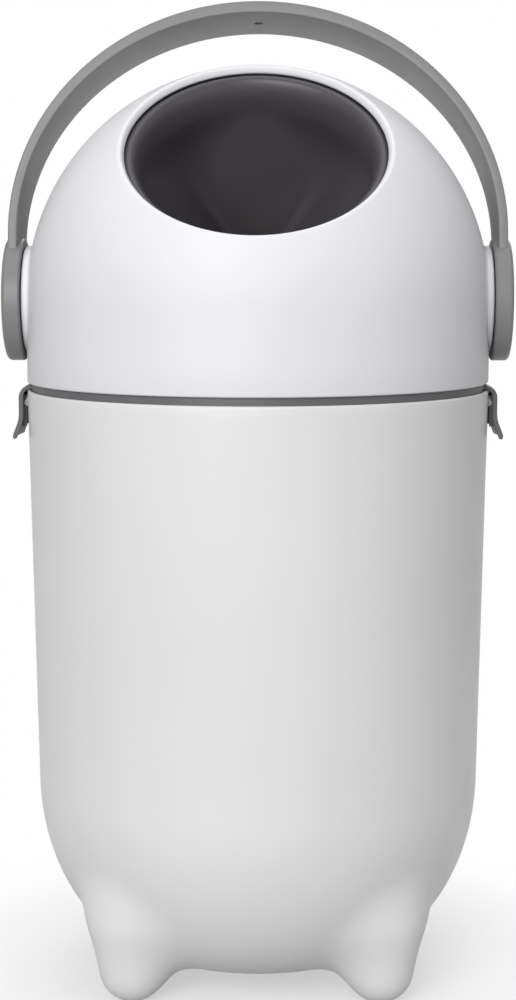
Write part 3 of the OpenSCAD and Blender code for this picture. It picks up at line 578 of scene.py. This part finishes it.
handle.rotation_euler = (-handle_lean, 0, 0)
bpy.ops.object.transform_apply(location=True, rotation=True, scale=True)


def ear_face(r):
    """How far out the ear's slightly crowned face is, at a distance from its middle."""
    return ear_out_x - ear_face_r + math.sqrt(ear_face_r ** 2 - r ** 2)


ears = []
for side in (-1, 1):
    edge_in = ear_r - ear_edge
    section = ([(0, ear_in_x + 5), (10, ear_in_x + 5), (10.1, ear_in_x + 0.4), (10.5, ear_in_x)]
               + [(ear_r - 0.8, ear_in_x), (ear_r, ear_in_x + 0.8)]
               + arc(edge_in, ear_face(edge_in) - ear_edge, ear_edge, 0, 84, 8)
               + [(r, ear_face(r)) for r in (32, 30, 28, cap_r + 0.6)]
               + [(cap_r + 0.25, ear_face(cap_r) - 0.35), (cap_r + 0.15, cap_seat_x), (0, cap_seat_x)])
    ears.append(turned("ear", section, 128, centre=lid_centre, axis=(side, 0, 0), out=(0, 0, 1)))
handle = joined(handle, *ears)
smoothed(handle)
handle_grey = moulded("handle_grey", (0.234, 0.229, 0.234), (0.214, 0.210, 0.215), 0.44, 0.30, 1300.0,
                      scuff=0.12)
dressed(handle, "drum", "handle_grey", handle_grey, "handle")

for side, name in ((-1, "left"), (1, "right")):
    section = ([(r, ear_face(r)) for r in (0, 8, 16, cap_r - 1.2)]
               + [(cap_r - 0.3, ear_face(cap_r) - 0.08), (cap_r, ear_face(cap_r) - 0.5),
                  (cap_r, cap_seat_x + 0.05), (0, cap_seat_x + 0.05)])
    cap = turned("ear_cover_" + name, section, 96, centre=lid_centre, axis=(side, 0, 0), out=(0, 0, 1))
    smoothed(cap)
    dressed(cap, "drum", "handle_grey", handle_grey, "ear_cap_" + name)


# ---- Axles, bushes and screws ----
# Steel tubes keyed into the drum and the ears, running in dark self-oiling bushes, and the
# zinc-plated screws that hold the ears, the drum's two shells and the lid's two parts.

axle_steel = speckled("axle_steel", (0.56, 0.57, 0.58), 0.85, 0.32, 0.08, 400.0, 4.0, 0.15, 0.0001,
                      metal=1.0)
screw_steel = speckled("screw_steel", (0.62, 0.63, 0.66), 0.85, 0.28, 0.08, 400.0, 4.0, 0.15, 0.0001,
                       metal=1.0)
bush_plastic = moulded("bush_plastic", (0.090, 0.088, 0.092), (0.078, 0.077, 0.080), 0.5, 0.15,
                       1800.0)
for node in ("axle_left", "axle_right"):
    material_on(node, axle_steel)
for node in ("lid_screws", "drum_screws", "handle_screws", "latch_pins"):
    material_on(node, screw_steel)
for node in ("bush_left", "bush_right"):
    material_on(node, bush_plastic)


# ---- Latches ----
# A grey snap hook on each side, hinged on a pin in the lid base. Its strap hangs over the rim, a
# nose inside it snaps under the bucket's catch, and a flared tab at the end is for the fingertips.

strap_in_r, strap_out_r = 140.1, 142.9
latch_w = 38.0
latch_half = math.degrees(math.asin(latch_w / 2 / strap_out_r))
hinge_x, hinge_h, barrel_r = 132.4, 355.9, 1.7
latch_section = [
    (132.4, 354.2), (137.6, 354.35), (138.8, 353.6), (139.6, 352.4), (strap_in_r, 350.4),
    (strap_in_r, 339.5), (140.3, 336.8), (140.9, 334.4), (141.9, 331.6), (143.1, 328.6), (143.9, 326.4),
    (144.3, 325.6), (145.0, 325.1), (145.9, 325.1), (146.5, 325.7), (146.6, 326.6), (146.1, 328.4),
    (145.0, 331.2), (143.9, 334.0), (143.2, 336.8), (strap_out_r, 339.5), (strap_out_r, 350.0), (142.6, 351.6),
    (141.9, 353.0), (140.8, 354.4), (139.2, 355.5), (137.0, 356.6), (135.2, 357.3), (132.4, 357.6),
    (132.4, 354.2)]
nose_width, rib_width = 8, 1
nose_section = [(140.6, 344.65), (140.1, 344.65), (138.2, 343.9), (138.2, 342.7), (140.6, 340.9),
                (140.6, 344.65)]
rib_section = [(140.6, 350.8), (138.0, 350.8), (138.0, 339.5), (138.2, 332), (141.4, 332), (140.6, 338),
               (140.6, 350.8)]
for side, name in ((-1, "left"), (1, "right")):
    strap = turned("latch_" + name + "_hook", latch_section, 18, math.radians(2 * latch_half),
                   out=start_of(side, 2 * latch_half), filled=True)
    smoothed(strap)
    edges = strap.modifiers.new("edges", "BEVEL")
    edges.width, edges.segments, edges.angle_limit = 0.5 * MM, 3, math.radians(50)
    bpy.ops.object.modifier_apply(modifier="edges")
    nose = turned("nose", nose_section, 6, math.radians(nose_width), out=start_of(side, nose_width),
                  filled=True)
    ribs = [turned("rib", rib_section, 2, math.radians(rib_width),
                   out=start_of(side, rib_width - end * latch_half), filled=True) for end in (-1, 1)]
    bpy.ops.object.select_all(action="DESELECT")
    bpy.ops.mesh.primitive_cylinder_add(vertices=32, radius=barrel_r * MM, depth=latch_w * MM,
                                        location=(side * hinge_x * MM, 0, hinge_h * MM),
                                        rotation=(math.pi / 2, 0, 0))
    barrel = bpy.context.object
    edges = barrel.modifiers.new("edges", "BEVEL")
    edges.width, edges.segments = 0.3 * MM, 2
    bpy.ops.object.modifier_apply(modifier="edges")
    bpy.ops.object.transform_apply(location=True, rotation=True, scale=True)
    latch = joined(strap, nose, barrel, *ribs)
    smoothed(latch)
    dressed(latch, "latch_" + name, "lid_base_grey", lid_base_grey, "latch_" + name)


# ---- Studio ----
# A pale floor that fades into a white room, one large soft lamp from the front left and weaker
# ones from the right, from above and from behind.

bpy.ops.object.select_all(action="DESELECT")
bpy.ops.mesh.primitive_circle_add(vertices=96, radius=6.0, fill_type="NGON", location=(0, 0, 0))
floor = bpy.context.object
floor.name = "floor"
paper = bpy.data.materials.new("floor_paper")
paper.use_nodes = True
nodes, links = paper.node_tree.nodes, paper.node_tree.links
shader = nodes["Principled BSDF"]
shader.inputs["Roughness"].default_value = 0.9
shader.inputs["Specular IOR Level"].default_value = 0.1
glow = nodes.new("ShaderNodeEmission")
glow.inputs["Color"].default_value = (1, 1, 1, 1)
glow.inputs["Strength"].default_value = 1.0
place = nodes.new("ShaderNodeTexCoord")
length = nodes.new("ShaderNodeVectorMath")
length.operation = "LENGTH"
links.new(place.outputs["Object"], length.inputs[0])
# The camera sees paper with the bin's soft shadow, fading into plain white away from the bin
fade = nodes.new("ShaderNodeMapRange")
fade.interpolation_type = "SMOOTHSTEP"
for key, value in (("From Min", 0.11), ("From Max", 0.27), ("To Min", 0.50)):
    fade.inputs[key].default_value = value
links.new(length.outputs["Value"], fade.inputs["Value"])
path = nodes.new("ShaderNodeLightPath")
# The light that the floor throws back onto the bin is that of a darker floor
tone = nodes.new("ShaderNodeMix")
tone.data_type = "RGBA"
tone.inputs["B"].default_value = (0.90, 0.90, 0.90, 1)
bounce = nodes.new("ShaderNodeMapRange")
for key, value in (("From Min", 0.20), ("From Max", 0.55), ("To Min", 0.40), ("To Max", 0.10)):
    bounce.inputs[key].default_value = value
links.new(length.outputs["Value"], bounce.inputs["Value"])
links.new(bounce.outputs["Result"], tone.inputs["A"])
links.new(path.outputs["Is Camera Ray"], tone.inputs["Factor"])
links.new(tone.outputs["Result"], shader.inputs["Base Color"])
seen = nodes.new("ShaderNodeMath")
seen.operation = "MAXIMUM"
links.new(path.outputs["Is Camera Ray"], seen.inputs[0])
links.new(path.outputs["Is Glossy Ray"], seen.inputs[1])
both = nodes.new("ShaderNodeMath")
both.operation = "MULTIPLY"
links.new(seen.outputs["Value"], both.inputs[0])
links.new(fade.outputs["Result"], both.inputs[1])
mix = nodes.new("ShaderNodeMixShader")
links.new(both.outputs["Value"], mix.inputs["Fac"])
links.new(shader.outputs["BSDF"], mix.inputs[1])
links.new(glow.outputs["Emission"], mix.inputs[2])
links.new(mix.outputs["Shader"], nodes["Material Output"].inputs["Surface"])
floor.data.materials.append(paper)

world = bpy.data.worlds.new("room")
bpy.context.scene.world = world
world.use_nodes = True
nodes, links = world.node_tree.nodes, world.node_tree.links
room = nodes["Background"]
room.inputs["Color"].default_value = (0.97, 0.98, 1.0, 1)
room.inputs["Strength"].default_value = 0.40
white = nodes.new("ShaderNodeBackground")
white.inputs["Color"].default_value = (1, 1, 1, 1)
white.inputs["Strength"].default_value = 1.0
path = nodes.new("ShaderNodeLightPath")
mix = nodes.new("ShaderNodeMixShader")
links.new(path.outputs["Is Camera Ray"], mix.inputs["Fac"])
links.new(room.outputs["Background"], mix.inputs[1])
links.new(white.outputs["Background"], mix.inputs[2])
links.new(mix.outputs["Shader"], nodes["World Output"].inputs["Surface"])


def lamp(name, place, aim, size, power):
    light = bpy.data.lights.new(name, "AREA")
    light.shape = "RECTANGLE"
    light.size, light.size_y = size
    light.energy = power
    o = bpy.data.objects.new(name, light)
    bpy.context.scene.collection.objects.link(o)
    o.location = place
    o.rotation_euler = (Vector(aim) - Vector(place)).to_track_quat("-Z", "Y").to_euler()


lamp("key_front_left", (-0.62, -2.10, 1.05), (0, 0, 0.32), (1.4, 1.4), 38.0)
lamp("fill_right", (1.7, -1.2, 0.9), (0, 0, 0.3), (1.0, 1.4), 4.0)
lamp("top_soft", (0, 0.1, 2.0), (0, 0, 0.3), (1.6, 1.6), 8.0)
lamp("back_soft", (0.5, 2.1, 1.6), (0, 0, 0.3), (1.4, 1.4), 16.0)

# The camera stands in front, a little above the middle, turned slightly to one side
camera_reach, camera_h, camera_dip = 1.290, 0.4475, 7.12
camera = bpy.data.cameras.new("camera")
camera.lens = 77.47
camera.sensor_width = 36.0
viewer = bpy.data.objects.new("camera", camera)
bpy.context.scene.collection.objects.link(viewer)
turn = math.radians(0.8)
viewer.location = (camera_reach * math.sin(turn), -camera_reach * math.cos(turn), camera_h)
viewer.rotation_euler = (math.radians(90 - camera_dip), 0, turn)
bpy.context.scene.camera = viewer
bpy.context.scene.view_settings.view_transform = "Standard"
